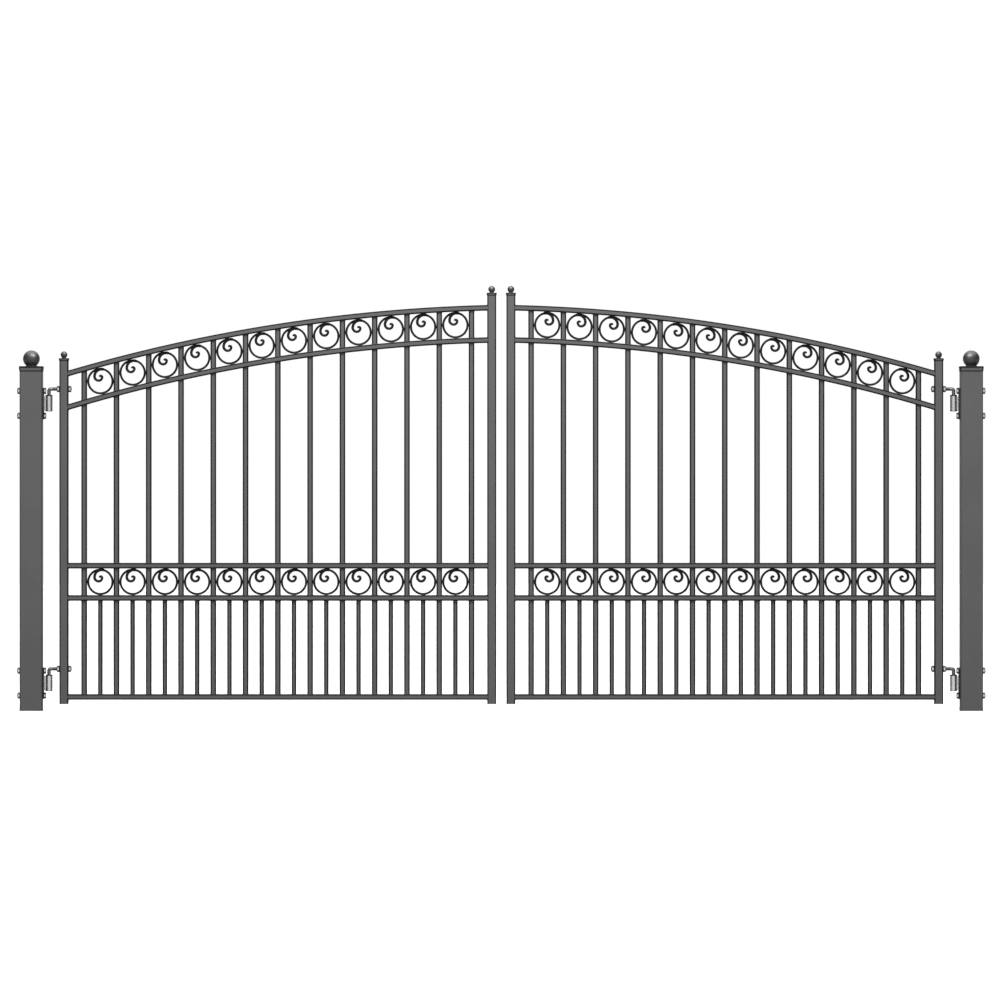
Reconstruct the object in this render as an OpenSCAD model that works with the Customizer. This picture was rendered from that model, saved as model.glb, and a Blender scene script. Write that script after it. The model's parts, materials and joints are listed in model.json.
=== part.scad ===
// Double swing driveway gate with an arched top, two bands of scroll rings and its two posts.
// The frame's origin is the middle of the left post's foot, +X runs to the right post, +Z is up
// and -Y is the front. Each side is drawn for the right half, measured from the gate's middle.

/* [Leaves] */
// Width of one leaf over its stiles
leaf_w = 1935; // [1500:5:2400]
// Space between the two closed leaves
leaf_gap = 45; // [20:1:90]
// Height of the top rail above the ground at the hinge side
side_h = 1508; // [1200:1:1900]
// How much higher the top rail is at the meeting stiles
arch_rise = 290; // [180:1:380]
// How far the arch's crown lies beyond the gate's middle
arch_crown_past = 117; // [0:1:200]
// Height of the middle of the lower mid rail above the ground
mid_rail_h = 500; // [380:1:640]
// Space between the ground and the stiles
ground_gap = 30; // [10:1:80]
// How far the stiles reach below the bottom rail
stile_foot = 19; // [5:1:60]
// How far the stiles reach above the top rail
stile_horn = 53; // [30:1:90]

/* [Bars] */
// Side of the square stiles
stile_w = 40; // [34:1:60]
// Wall of the stiles
stile_wall = 2; // [1.5:0.1:4]
// Height of the rails as seen from the front
rail_h = 25; // [16:1:40]
// Depth of the rails from front to back
rail_d = 40; // [20:1:60]
// Side of the square pickets
picket_w = 25; // [12:1:30]
// Side of the square short pickets
short_picket_w = 20; // [10:1:30]
// Least distance between the middles of a stile and the next picket
end_bay_min = 60; // [50:1:75]

/* [Scroll rings] */
// Outer diameter of a ring
ring_od = 117.6; // [98:0.1:142]
// Width of the ring's bar as seen from the front
ring_bar = 10; // [6:0.5:12]
// Depth of the ring's bar from front to back
ring_depth = 12; // [8:0.5:20]
// Width of the scroll's bar
scroll_bar = 9; // [5:0.5:10]
// Diameter of the scroll's rounded tip
scroll_tip = 11; // [8:0.5:12]

/* [Posts] */
// Side of the square posts
post_w = 100; // [80:1:150]
// Wall of the posts
post_wall = 3; // [2:0.5:6]
// How far the posts reach above the upper hinge
post_above_hinge = 98.5; // [60:0.5:200]

/* [Caps and balls] */
// Height of a post cap's skirt
post_cap_skirt = 20; // [12:1:40]
// Thickness of a post cap's top
post_cap_top = 3.5; // [2:0.5:8]
// Diameter of a post's ball
post_ball_d = 75; // [50:1:95]
// Diameter of the seat under a post's ball
post_ball_seat = 42; // [20:1:48]
// Height of a stile cap's skirt
stile_cap_skirt = 11; // [8:1:25]
// Thickness of a stile cap's top
stile_cap_top = 2; // [1.5:0.5:5]
// Diameter of a stile's ball
stile_ball_d = 30.5; // [22:0.5:40]
// Diameter of the seat under a stile's ball
stile_ball_seat = 20; // [10:1:21]

/* [Hinges] */
// Height of the lower hinge bolt above the ground
hinge_low_z = 186; // [150:1:320]
// How far the upper hinge bolt lies below the top rail
hinge_below_top = 82.5; // [75:0.5:100]
// Distance from the hinge pin to the leaf
pin_to_leaf = 46.5; // [42:0.5:80]
// Distance from the hinge pin to the post
pin_to_post = 28; // [26:0.5:45]
// Diameter of the bent hinge bolt
pin_d = 16; // [12:1:18]
// Outer diameter of the barrel
barrel_d = 32; // [30:1:36]
// Length of the barrel
barrel_len = 73; // [50:1:80]
// Drop from the bent bolt's middle to the barrel
barrel_drop = 26; // [22:1:34]
// Thickness of the plate on the post
plate_t = 5.5; // [4:0.5:8]
// Width of the plate on the post
plate_w = 60; // [40:1:80]
// Height of the plate on the post
plate_h = 140; // [140:1:180]
// Distance between the plate's two bolts
plate_bolt_pitch = 110.5; // [110:0.5:120]
// Diameter of the bolts through the post
post_bolt_d = 16; // [10:1:16]

/* [Nuts] */
// Distance over the flats of the nuts and bolt heads
hex_af = 24; // [24:1:27]
// Thickness of the nuts
nut_t = 12; // [8:0.5:16]
// Thickness of the bolt heads
head_t = 10; // [6:0.5:12]
// How far a bolt's end stands out of its nut
thread_out = 2; // [0.5:0.5:8]

/* [Hidden] */
$fn = 64;

// Clearances: between a ring and its bars, at a slanted weld, around a fixed bolt,
// around the turning pin, and between a cap and its tube
ring_fit = 0.2;
weld_fit = 0.05;
bolt_fit = 0.2;
pin_fit = 0.08;
cap_fit = 0.2;

// How far a cut reaches past the faces that it opens, and a turned outline past a hexagon's corners
over = 1;
hex_over = 0.1;

// Places along X, from the gate's middle
lock_mid = leaf_gap / 2 + stile_w / 2;
lock_face = leaf_gap / 2 + stile_w;
hinge_out = leaf_gap / 2 + leaf_w;
hinge_mid = hinge_out - stile_w / 2;
hinge_face = hinge_out - stile_w;
pin_x = hinge_out + pin_to_leaf;
post_face = pin_x + pin_to_post;
post_x = post_face + post_w / 2;

// Bands and bays: a ring fits between two rails and between two pickets
ring_room = ring_od + 2 * ring_fit;
band_pitch = ring_room + rail_h;
bay = ring_room + picket_w;
bays = floor((hinge_mid - lock_mid - 2 * end_bay_min) / bay);
first_picket = (lock_mid + hinge_mid - bays * bay) / 2;

// Heights
stile_z = ground_gap;
bottom_rail_z = ground_gap + stile_foot;
mid_low_z = mid_rail_h - rail_h / 2;
mid_high_z = mid_low_z + band_pitch;
hinge_stile_top = side_h + stile_horn;
lock_stile_top = side_h + arch_rise + stile_horn;
hinge_high_z = side_h - hinge_below_top;
post_top = hinge_high_z + post_above_hinge;
hinge_heights = [hinge_low_z, hinge_high_z];

// The arch: its middle lies below the crown, and all its rails share that middle
arch_x = -arch_crown_past;
run_low = hinge_face - arch_x;
run_high = lock_face - arch_x;
arch_z = side_h + arch_rise / 2 - (run_low ^ 2 - run_high ^ 2) / (2 * arch_rise);
arch_r = norm([run_low, side_h - arch_z]);
lower_arch_r = arch_r - band_pitch;
arch_ring_r = arch_r - rail_h - ring_room / 2;
arch_trim = 4;
arch_fn = 720;

// The scroll: radius and turn of each arc, from the ring to the tip
scroll_branch = 16;
scroll_radii = [32, 18.5, 14, 5, 7];
scroll_turns = [106, 90, 90, 90, 30];

// Walls and edges of the caps
cap_wall = 1.2;
post_cap_flare = 1.6;
stile_cap_flare = 1.2;
cap_edge = 0.8;
post_ball_neck = 1;
stile_ball_neck = 3;

// Small sizes of the hinges
bend_r = pin_d / 2 + 1;
pin_end = 4;
barrel_edge = 1.5;
web_t = 12;
web_short = 4;
plate_above = 6;
bolt_below = 8;
hex_edge = 1.2;
bolt_edge = 1;

// Height of the circle of radius r about the arch's middle, at x
function arch_at(r, x) = arch_z + sqrt(r ^ 2 - (x - arch_x) ^ 2);

// Place of picket number i, from the meeting stile
function picket_x(i) = first_picket + i * bay;

// Where an arc of the scroll starts, as an angle about its own middle
function arc_from(i) = i == 0 ? 90 - scroll_branch : arc_from(i - 1) + scroll_turns[i - 1];

// Unit vector at an angle
function toward(a) = [cos(a), sin(a)];

// Middle of an arc of the scroll: each arc leaves the one before it on a tangent
function arc_middle(i) =
    let (before = i == 0 ? [0, 0] : arc_middle(i - 1))
    let (r_before = i == 0 ? (ring_od - ring_bar) / 2 : scroll_radii[i - 1])
    before + (r_before - scroll_radii[i]) * toward(arc_from(i));

// Draws one half of the gate: the left one is the right one's mirror image
module half(side) {
    translate([post_x, 0, 0])
        if (side == "left") mirror([1, 0, 0]) children();
        else children();
}

// Stands a flat outline up in the gate's plane, with depth d about the middle
module upright(d) {
    rotate([90, 0, 0]) linear_extrude(d, center = true) children();
}

// Square tube that stands on z
module square_tube(x, z, w, wall, h) {
    difference() {
        translate([x - w / 2, -w / 2, z]) cube([w, w, h]);
        translate([x - w / 2 + wall, -w / 2 + wall, z - over])
            cube([w - 2 * wall, w - 2 * wall, h + 2 * over]);
    }
}

// A square solid with the same side view from the front and from the side
module square_turned(outline, w) {
    intersection() {
        upright(w) polygon(outline);
        rotate([0, 0, 90]) upright(w) polygon(outline);
    }
}

// Pressed cap with a flared skirt over a square tube whose top is at z
module tube_cap(x, z, w, skirt, top, flare) {
    low = w / 2 + cap_fit + cap_wall;
    high = low + flare;
    outline = [
        [-low, -skirt], [low, -skirt], [high, top - cap_edge], [high - cap_edge, top],
        [cap_edge - high, top], [-high, top - cap_edge]
    ];
    pocket = w + 2 * cap_fit;
    translate([x, 0, z]) difference() {
        square_turned(outline, 2 * (high + over));
        translate([-pocket / 2, -pocket / 2, -skirt - over]) cube([pocket, pocket, skirt + over]);
    }
}

// Ball cut flat where it meets its short neck, which stands at z
module ball(x, z, d, seat, neck) {
    rise = sqrt((d / 2) ^ 2 - (seat / 2) ^ 2);
    translate([x, 0, z]) {
        cylinder(h = neck, d = seat);
        intersection() {
            translate([0, 0, neck + rise]) sphere(d = d);
            translate([-d, -d, neck]) cube([2 * d, 2 * d, 2 * d]);
        }
    }
}

// Hexagon along +X from x, with flats in front and behind and its corners turned down
module hex_piece(x, z, t) {
    corner_r = hex_af / (2 * cos(30));
    turned_r = corner_r + hex_over;
    translate([x, 0, z]) rotate([0, 90, 0]) intersection() {
        cylinder(h = t, r = corner_r, $fn = 6);
        union() {
            cylinder(h = hex_edge, r1 = hex_af / 2, r2 = turned_r);
            translate([0, 0, hex_edge]) cylinder(h = t - 2 * hex_edge, r = turned_r);
            translate([0, 0, t - hex_edge]) cylinder(h = hex_edge, r1 = turned_r, r2 = hex_af / 2);
        }
    }
}

// Rod along +X from x0 to x1, with its far end turned down
module rod_along(x0, x1, z, d) {
    translate([x0, 0, z]) rotate([0, 90, 0]) {
        cylinder(h = x1 - x0 - bolt_edge, d = d);
        translate([0, 0, x1 - x0 - bolt_edge])
            cylinder(h = bolt_edge, d1 = d, d2 = d - 2 * bolt_edge);
    }
}

// Holes through both walls of a square tube, along X
module cross_holes(x, heights, d, w) {
    for (z = heights)
        translate([x - w / 2 - over, 0, z]) rotate([0, 90, 0]) cylinder(h = w + 2 * over, d = d);
}

// Heights of all the bolts through a post
post_bolt_heights = [
    for (z = hinge_heights, drop = [bolt_below, bolt_below + plate_bolt_pitch]) z - drop
];

module post() {
    color("dimgray") difference() {
        square_tube(post_x, 0, post_w, post_wall, post_top);
        cross_holes(post_x, post_bolt_heights, post_bolt_d + 2 * bolt_fit, post_w);
    }
}

module post_cap() {
    color("dimgray")
        tube_cap(post_x, post_top, post_w, post_cap_skirt, post_cap_top, post_cap_flare);
}

module post_ball() {
    color("dimgray")
        ball(post_x, post_top + post_cap_top, post_ball_d, post_ball_seat, post_ball_neck);
}

module hinge_plates() {
    color("silver") difference() {
        for (z = hinge_heights)
            translate([post_face - plate_t, -plate_w / 2, z + plate_above - plate_h])
                cube([plate_t, plate_w, plate_h]);
        cross_holes(post_face, post_bolt_heights, post_bolt_d + 2 * bolt_fit, 2 * plate_t);
    }
}

// One barrel with the web that carries it, its top face at z
module barrel(z) {
    web_x = post_face - plate_t;
    difference() {
        union() {
            translate([pin_x, 0, z - barrel_edge])
                cylinder(h = barrel_edge, d1 = barrel_d, d2 = barrel_d - 2 * barrel_edge);
            translate([pin_x, 0, z - barrel_len]) cylinder(h = barrel_len - barrel_edge, d = barrel_d);
            translate([pin_x, -web_t / 2, z - barrel_len + web_short])
                cube([web_x - pin_x, web_t, barrel_len - 2 * web_short]);
        }
        translate([pin_x, 0, z - barrel_len - over])
            cylinder(h = barrel_len + 2 * over, d = pin_d + 2 * pin_fit);
    }
}

module hinge_barrels() {
    color("silver") for (z = hinge_heights) barrel(z - barrel_drop);
}

module post_bolts() {
    head_x = post_face - plate_t - head_t;
    end_x = post_face + post_w + nut_t + thread_out;
    color("silver") for (z = post_bolt_heights) {
        hex_piece(head_x, z, head_t);
        rod_along(head_x + head_t / 2, end_x, z, post_bolt_d);
    }
}

module post_nuts() {
    color("silver") for (z = post_bolt_heights) difference() {
        hex_piece(post_face + post_w, z, nut_t);
        cross_holes(post_face + post_w, [z], post_bolt_d + 2 * bolt_fit, 2 * nut_t);
    }
}

module hinge_stile() {
    color("dimgray") difference() {
        square_tube(hinge_mid, stile_z, stile_w, stile_wall, hinge_stile_top - stile_z);
        cross_holes(hinge_mid, hinge_heights, pin_d + 2 * bolt_fit, stile_w);
    }
}

module lock_stile() {
    color("dimgray") square_tube(lock_mid, stile_z, stile_w, stile_wall, lock_stile_top - stile_z);
}

module stile_caps() {
    color("dimgray") {
        tube_cap(hinge_mid, hinge_stile_top, stile_w, stile_cap_skirt, stile_cap_top, stile_cap_flare);
        tube_cap(lock_mid, lock_stile_top, stile_w, stile_cap_skirt, stile_cap_top, stile_cap_flare);
    }
}

module stile_balls() {
    color("dimgray") {
        ball(hinge_mid, hinge_stile_top + stile_cap_top, stile_ball_d, stile_ball_seat, stile_ball_neck);
        ball(lock_mid, lock_stile_top + stile_cap_top, stile_ball_d, stile_ball_seat, stile_ball_neck);
    }
}

// Curved rail between the stiles, with its upper edge on the circle of radius r
module curved_rail(r) {
    a_lock = asin((run_high - arch_trim) / r);
    a_hinge = asin((run_low + arch_trim) / (r - rail_h));
    color("dimgray") intersection() {
        translate([arch_x, 0, arch_z]) rotate([90, 0, 0])
            rotate_extrude(start = 90 - a_hinge, angle = a_hinge - a_lock, $fn = arch_fn)
                translate([r - rail_h, -rail_d / 2]) square([rail_h, rail_d]);
        translate([lock_face, -rail_d, 0])
            cube([hinge_face - lock_face, 2 * rail_d, 2 * (side_h + arch_rise)]);
    }
}

module top_rail() {
    curved_rail(arch_r);
}

module arched_rail() {
    curved_rail(lower_arch_r);
}

// Straight rail between the stiles, with its underside at z
module straight_rail(z) {
    color("dimgray") translate([lock_face, -rail_d / 2, z])
        cube([hinge_face - lock_face, rail_d, rail_h]);
}

module mid_rail_upper() {
    straight_rail(mid_high_z);
}

module mid_rail_lower() {
    straight_rail(mid_low_z);
}

module bottom_rail() {
    straight_rail(bottom_rail_z);
}

// Upright bar about x, whose ends may slant: heights are [at its left edge, at its right edge]
module bar(x, w, low, high) {
    upright(w) polygon([
        [x - w / 2, low[0]], [x + w / 2, low[1]], [x + w / 2, high[1]], [x - w / 2, high[0]]
    ]);
}

module pickets() {
    color("dimgray") for (i = [0:bays]) {
        x = picket_x(i);
        edges = [x - picket_w / 2, x + picket_w / 2];
        under_lower = [for (e = edges) arch_at(lower_arch_r - rail_h, e) - weld_fit];
        over_lower = [for (e = edges) arch_at(lower_arch_r, e) + weld_fit];
        under_top = [for (e = edges) arch_at(arch_r - rail_h, e) - weld_fit];
        bar(x, picket_w, [for (e = edges) bottom_rail_z + rail_h], [for (e = edges) mid_low_z]);
        bar(x, picket_w, [for (e = edges) mid_low_z + rail_h], [for (e = edges) mid_high_z]);
        bar(x, picket_w, [for (e = edges) mid_high_z + rail_h], under_lower);
        bar(x, picket_w, over_lower, under_top);
    }
}

module short_pickets() {
    low = bottom_rail_z + rail_h;
    color("dimgray") for (i = [0:bays - 1])
        bar(picket_x(i + 0.5), short_picket_w, [low, low], [mid_low_z, mid_low_z]);
}

// Hoop about the middle with the scroll that leaves its top
module scroll_ring() {
    last = len(scroll_radii) - 1;
    tip = arc_middle(last) + scroll_radii[last] * toward(arc_from(last) + scroll_turns[last]);
    rotate([90, 0, 0]) {
        difference() {
            cylinder(h = ring_depth, d = ring_od, center = true);
            cylinder(h = ring_depth + 2 * over, d = ring_od - 2 * ring_bar, center = true);
        }
        mirror([1, 0, 0]) {
            for (i = [0:last])
                translate(arc_middle(i))
                    rotate_extrude(start = arc_from(i), angle = scroll_turns[i])
                        translate([scroll_radii[i] - scroll_bar / 2, -ring_depth / 2])
                            square([scroll_bar, ring_depth]);
            translate(tip) cylinder(h = ring_depth, d = scroll_tip, center = true);
        }
    }
}

module arch_rings() {
    color("dimgray") for (i = [0:bays - 1]) {
        x = picket_x(i + 0.5);
        translate([x, 0, arch_at(arch_ring_r, x)]) scroll_ring();
    }
}

module band_rings() {
    z = mid_low_z + rail_h + ring_room / 2;
    color("dimgray") for (i = [0:bays - 1])
        translate([picket_x(i + 0.5), 0, z]) scroll_ring();
}

// Bent bolt: a pin that turns in the barrel, a bend, and a leg through the hinge stile
module hinge_bolt(z) {
    pin_low = z - barrel_drop - barrel_len + pin_end;
    translate([pin_x, 0, pin_low]) cylinder(h = z - bend_r - pin_low, d = pin_d);
    translate([pin_x - bend_r, 0, z - bend_r]) rotate([90, 0, 0])
        rotate_extrude(angle = 90) translate([bend_r, 0]) circle(d = pin_d);
    translate([pin_x - bend_r, 0, 0]) mirror([1, 0, 0])
        rod_along(0, pin_x - bend_r - hinge_face + nut_t + thread_out, z, pin_d);
}

module hinge_bolts() {
    color("silver") for (z = hinge_heights) hinge_bolt(z);
}

module hinge_nuts() {
    color("silver") for (z = hinge_heights, x = [hinge_face - nut_t, hinge_out]) difference() {
        hex_piece(x, z, nut_t);
        cross_holes(x, [z], pin_d + 2 * bolt_fit, 2 * nut_t);
    }
}

half("left") post();  // left_post
half("left") post_cap();  // left_post_cap
half("left") post_ball();  // left_post_ball
half("left") hinge_plates();  // left_hinge_plates
half("left") hinge_barrels();  // left_hinge_barrels
half("left") post_bolts();  // left_post_bolts
half("left") post_nuts();  // left_post_nuts
half("left") hinge_stile();  // left_hinge_stile
half("left") lock_stile();  // left_lock_stile
half("left") stile_caps();  // left_stile_caps
half("left") stile_balls();  // left_stile_balls
half("left") top_rail();  // left_top_rail
half("left") arched_rail();  // left_arched_rail
half("left") mid_rail_upper();  // left_mid_rail_upper
half("left") mid_rail_lower();  // left_mid_rail_lower
half("left") bottom_rail();  // left_bottom_rail
half("left") pickets();  // left_pickets
half("left") short_pickets();  // left_short_pickets
half("left") arch_rings();  // left_arch_rings
half("left") band_rings();  // left_band_rings
half("left") hinge_bolts();  // left_hinge_bolts
half("left") hinge_nuts();  // left_hinge_nuts
half("right") post();  // right_post
half("right") post_cap();  // right_post_cap
half("right") post_ball();  // right_post_ball
half("right") hinge_plates();  // right_hinge_plates
half("right") hinge_barrels();  // right_hinge_barrels
half("right") post_bolts();  // right_post_bolts
half("right") post_nuts();  // right_post_nuts
half("right") hinge_stile();  // right_hinge_stile
half("right") lock_stile();  // right_lock_stile
half("right") stile_caps();  // right_stile_caps
half("right") stile_balls();  // right_stile_balls
half("right") top_rail();  // right_top_rail
half("right") arched_rail();  // right_arched_rail
half("right") mid_rail_upper();  // right_mid_rail_upper
half("right") mid_rail_lower();  // right_mid_rail_lower
half("right") bottom_rail();  // right_bottom_rail
half("right") pickets();  // right_pickets
half("right") short_pickets();  // right_short_pickets
half("right") arch_rings();  // right_arch_rings
half("right") band_rings();  // right_band_rings
half("right") hinge_bolts();  // right_hinge_bolts
half("right") hinge_nuts();  // right_hinge_nuts
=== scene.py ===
# Looks of the double swing driveway gate: rounded and welded tubes, forged scroll rings, pressed
# caps and balls, and threaded hinge hardware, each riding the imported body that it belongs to.
# Every place and size comes from the frame; the values below are finishes finer than the frame's.

import json
import math

import bpy
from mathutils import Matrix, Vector, noise


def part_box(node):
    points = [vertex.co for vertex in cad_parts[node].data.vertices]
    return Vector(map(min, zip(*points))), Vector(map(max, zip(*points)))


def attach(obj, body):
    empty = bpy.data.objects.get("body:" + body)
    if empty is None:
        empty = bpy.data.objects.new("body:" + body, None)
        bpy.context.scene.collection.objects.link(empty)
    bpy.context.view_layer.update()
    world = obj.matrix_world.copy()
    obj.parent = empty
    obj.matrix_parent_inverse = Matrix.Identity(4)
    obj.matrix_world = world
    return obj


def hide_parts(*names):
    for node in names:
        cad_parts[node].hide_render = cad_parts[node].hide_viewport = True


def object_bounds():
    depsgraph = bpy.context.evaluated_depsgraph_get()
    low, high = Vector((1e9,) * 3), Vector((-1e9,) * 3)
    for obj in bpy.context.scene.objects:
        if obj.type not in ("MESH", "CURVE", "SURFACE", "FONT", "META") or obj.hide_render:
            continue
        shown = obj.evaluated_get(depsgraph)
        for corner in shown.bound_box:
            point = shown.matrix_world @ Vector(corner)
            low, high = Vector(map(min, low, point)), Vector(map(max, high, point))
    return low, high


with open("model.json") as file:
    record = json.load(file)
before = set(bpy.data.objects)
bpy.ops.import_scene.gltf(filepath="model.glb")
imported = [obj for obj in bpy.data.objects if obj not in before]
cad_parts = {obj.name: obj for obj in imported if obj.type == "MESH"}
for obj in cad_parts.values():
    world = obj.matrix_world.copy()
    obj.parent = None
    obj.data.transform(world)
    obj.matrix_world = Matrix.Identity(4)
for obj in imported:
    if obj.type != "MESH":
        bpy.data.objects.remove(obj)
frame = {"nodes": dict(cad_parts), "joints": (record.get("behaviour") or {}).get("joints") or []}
cad_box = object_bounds()

MM = 0.001
TURN = 2 * math.pi
SIDES = ("left", "right")

# Corner radii and walls of the tubes
POST_CORNER = 3 * MM
POST_WALL = 3 * MM
STILE_CORNER = 4 * MM
STILE_WALL = 2 * MM
RAIL_CORNER = 3.5 * MM
PICKET_CORNER = 3.5 * MM
CORNER_STEPS = 4
RAIL_SLICE = 40 * MM
SUNK_END = 0.5 * MM

# Painted shade along the corners, a dark line where the surfaces turn away from the light: how far it
# is full and then fades on each face, and how strong it is
BAR_EDGE = (1.8 * MM, 1.4 * MM, 1.0)
STILE_EDGE = (0.8 * MM, 1.2 * MM, 1.0)
POST_EDGE = (0.8 * MM, 1.2 * MM, 0.45)

# Forged rings. The scroll's first two arcs are those of the solid rings; the last three open a little
# wider, and end in a thin tip where the solid rings have a knob. Turns are in degrees.
RING_BAR = 10 * MM
RING_DEPTH = 12 * MM
SCROLL_BRANCH = 16
SCROLL_RADII = [32 * MM, 18.5 * MM, 15.5 * MM, 5.5 * MM, 12 * MM]
SCROLL_TURNS = [106, 90, 90, 90, 45]
SCROLL_ROOT = 13 * MM
SCROLL_END = 10.5 * MM
SCROLL_TIP = 11.5 * MM
SCROLL_SWELL = 0.84
SCROLL_POINT = 0.35
SCROLL_STEP = 9
RING_STEPS = 60
FORGED_SIDES = 14
HAMMER_DEPTH = 0.35 * MM
HAMMER_SCALE = 70
HAMMER_SEED = 7

# Welds: leg and length of a bead's segments, how uneven it is, and how small its two ends are
WELD_LEG = 1.8 * MM
WELD_FRONT = 0.8
WELD_SEGMENT = 3.2 * MM
WELD_NOISE = 260
WELD_SWELL = 0.22
WELD_END = 0.55
WELD_STEPS = 4
WELD_INSET = 0.6

# Tacks: length, width and height, and how uneven they are
TACK_SIZE = (6.5 * MM, 4.5 * MM, 2.6 * MM)
TACK_NOISE = 300
TACK_SWELL = 0.15
TACK_SLICES = 6
TACK_SIDES = 8

# Caps and balls
CAP_SHEET = 1.2 * MM
CAP_BEND = 2.4 * MM
CAP_LIP = 2.4 * MM
# Painted shade on the caps: the share of the height under the top that is dark, and how far it fades
CAP_LINE = 0.34
CAP_FADE = 1.2 * MM
CAP_STEPS = 4
CAP_TOP = (0.88, 0.7, 0.4)
BALL_NECK = 0.6
BALL_SEAT = 0.72
BALL_RINGS = 36
LATHE_STEPS = 64

# Hinge hardware
HEX_STEPS = 48
HEX_FACE = 0.96
# Painted shade on nuts and bolt heads: the share of the length that is dark at each end, and where the
# faces over and under start and finish darkening
HEX_DARK = 0.33
HEX_SHADE_START = 0.42
HEX_SHADE_FULL = 0.56
THREAD_PITCH = 2 * MM
THREAD_DEPTH = 0.7 * MM
THREAD_SHAPE = 0.7
THREAD_SLICES = 4
ROD_STEPS = 24
# Painted shade on the hinge bolts: where the rod starts to darken as its surface turns away from front
# and back
ROD_SHADE_START = 0.45
BEND_STEPS = 8
BORE_EDGE = 0.8 * MM
PLATE_EDGE = 1.2 * MM
PLATE_CORNER = 5 * MM
SHORT_THREAD = 5 * MM
PIN_EDGE = 1.2 * MM
BARREL_EDGE = 1.5 * MM
BARREL_TOP = 4 * MM
PIN_ROOM = 0.1 * MM
WEB_THICK = 12 * MM
WEB_SHORT = 4 * MM
WEB_INTO = 3 * MM

# Floor, light and camera
FLOOR_REACH = 60
FLOOR_SEEN = (0.9, 0.9, 0.9)
FLOOR_BOUNCE = (0.3, 0.3, 0.3)
BACKDROP_SEEN = 1.02
SKY_FRONT = 1.0
SKY_SIDE = 0.06
SKY_BACK = 0.85
SKY_ABOVE = 2.4
KEY_ABOVE = 3.2
KEY_FRONT = 2.6
KEY_SIZE = (4.4, 1.8)
KEY_POWER = 380
SENSOR = 36
LENS = 325
CAMERA_FAR = 40
CAMERA_LEFT = 5.8 * MM
CAMERA_HIGH = 934 * MM


class Shape:
    """The points and faces of one piece, and how much of an edge each point is, from 0 to 1; the
    finishes paint shade where it is high.
    """

    def __init__(self):
        self.points = []
        self.faces = []
        self.edges = []

    def loft(self, rings, edges=None, around=False):
        """Joins rings of as many points each by four-sided faces, and closes the two ends.
        edges is one number for each point of a ring, or a list of those for each ring."""
        start = len(self.points)
        count = len(rings[0])
        edges = edges or [0.0] * count
        for i, ring in enumerate(rings):
            self.points.extend(ring)
            self.edges.extend(edges[i] if isinstance(edges[0], list) else edges)
        spans = len(rings) if around else len(rings) - 1
        for i in range(spans):
            a = start + i * count
            b = start + (i + 1) % len(rings) * count
            for j in range(count):
                k = (j + 1) % count
                self.faces.append((a + j, a + k, b + k, b + j))
        if not around:
            last = start + (len(rings) - 1) * count
            self.faces.append(tuple(start + j for j in reversed(range(count))))
            self.faces.append(tuple(last + j for j in range(count)))


def make(shape, name, body, finish, replaced=(), smooth_angle=40):
    """Turns a shape into a piece that rides a body and shows the finish of a slot."""
    mesh = bpy.data.meshes.new(name)
    mesh.from_pydata([tuple(p) for p in shape.points], [], shape.faces)
    # The edge attribute marks where the coats and the zinc are darkened with painted shade
    mesh.attributes.new("edge", "FLOAT", "POINT").data.foreach_set("value", shape.edges)
    mesh.materials.append(finish)
    mesh.shade_smooth()
    mesh.set_sharp_from_angle(angle=math.radians(smooth_angle))
    mesh.update()
    piece = bpy.data.objects.new(name, mesh)
    bpy.context.scene.collection.objects.link(piece)
    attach(piece, body)
    if replaced:
        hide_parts(*replaced)
    return piece


# ---------------------------------------------------------------- places that the frame gives

def solids(node):
    """Corner points of each separate solid of a CAD node, in order along X and then Z."""
    mesh = frame["nodes"][node].data
    keys = [tuple(round(c, 6) for c in v.co) for v in mesh.vertices]
    above = {k: k for k in keys}

    def top(k):
        while above[k] != k:
            above[k] = above[above[k]]
            k = above[k]
        return k

    for face in mesh.polygons:
        for i in face.vertices[1:]:
            above[top(keys[i])] = top(keys[face.vertices[0]])
    groups = {}
    for k in above:
        groups.setdefault(top(k), []).append(Vector(k))
    return sorted(groups.values(), key=lambda g: (round(corners(g)[0].x, 4), corners(g)[0].z))


def corners(points):
    """Lowest and highest corner of the box around some points."""
    low = Vector([min(p[i] for p in points) for i in range(3)])
    high = Vector([max(p[i] for p in points) for i in range(3)])
    return low, high


def middle(box):
    """Middle of a box."""
    return (box[0] + box[1]) / 2


def slant(points):
    """Lower and upper end of an upright bar, as (left x, left z, right x, right z)."""
    low, high = corners(points)
    half = (high.x - low.x) / 2
    left = [p.z for p in points if p.x < low.x + half]
    right = [p.z for p in points if p.x > low.x + half]
    return (
        (low.x, min(left), high.x, min(right)),
        (low.x, max(left), high.x, max(right)),
    )


def arc_height(node):
    """Middle (x, z) and radius of a curved rail's upper edge, from three of its points."""
    points = [v.co for v in frame["nodes"][node].data.vertices]
    low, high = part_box(node)
    window = (high.x - low.x) / 20
    a, b, c = [
        max((p for p in points if abs(p.x - x) < window and p.x >= x - window), key=lambda p: p.z)
        for x in (low.x, (low.x + high.x) / 2, high.x)
    ]
    mid_x, mid_z = circle_middle((a.x, a.z), (b.x, b.z), (c.x, c.z))
    radius = math.hypot(a.x - mid_x, a.z - mid_z)
    return mid_x, mid_z, radius


def circle_middle(a, b, c):
    """Middle of the circle through three points of a plane."""
    (ax, ay), (bx, by), (cx, cy) = a, b, c
    d = 2 * (ax * (by - cy) + bx * (cy - ay) + cx * (ay - by))
    sa, sb, sc = ax ** 2 + ay ** 2, bx ** 2 + by ** 2, cx ** 2 + cy ** 2
    x = (sa * (by - cy) + sb * (cy - ay) + sc * (ay - by)) / d
    y = (sa * (cx - bx) + sb * (ax - cx) + sc * (bx - ax)) / d
    return x, y


# ---------------------------------------------------------------- outlines

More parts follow.
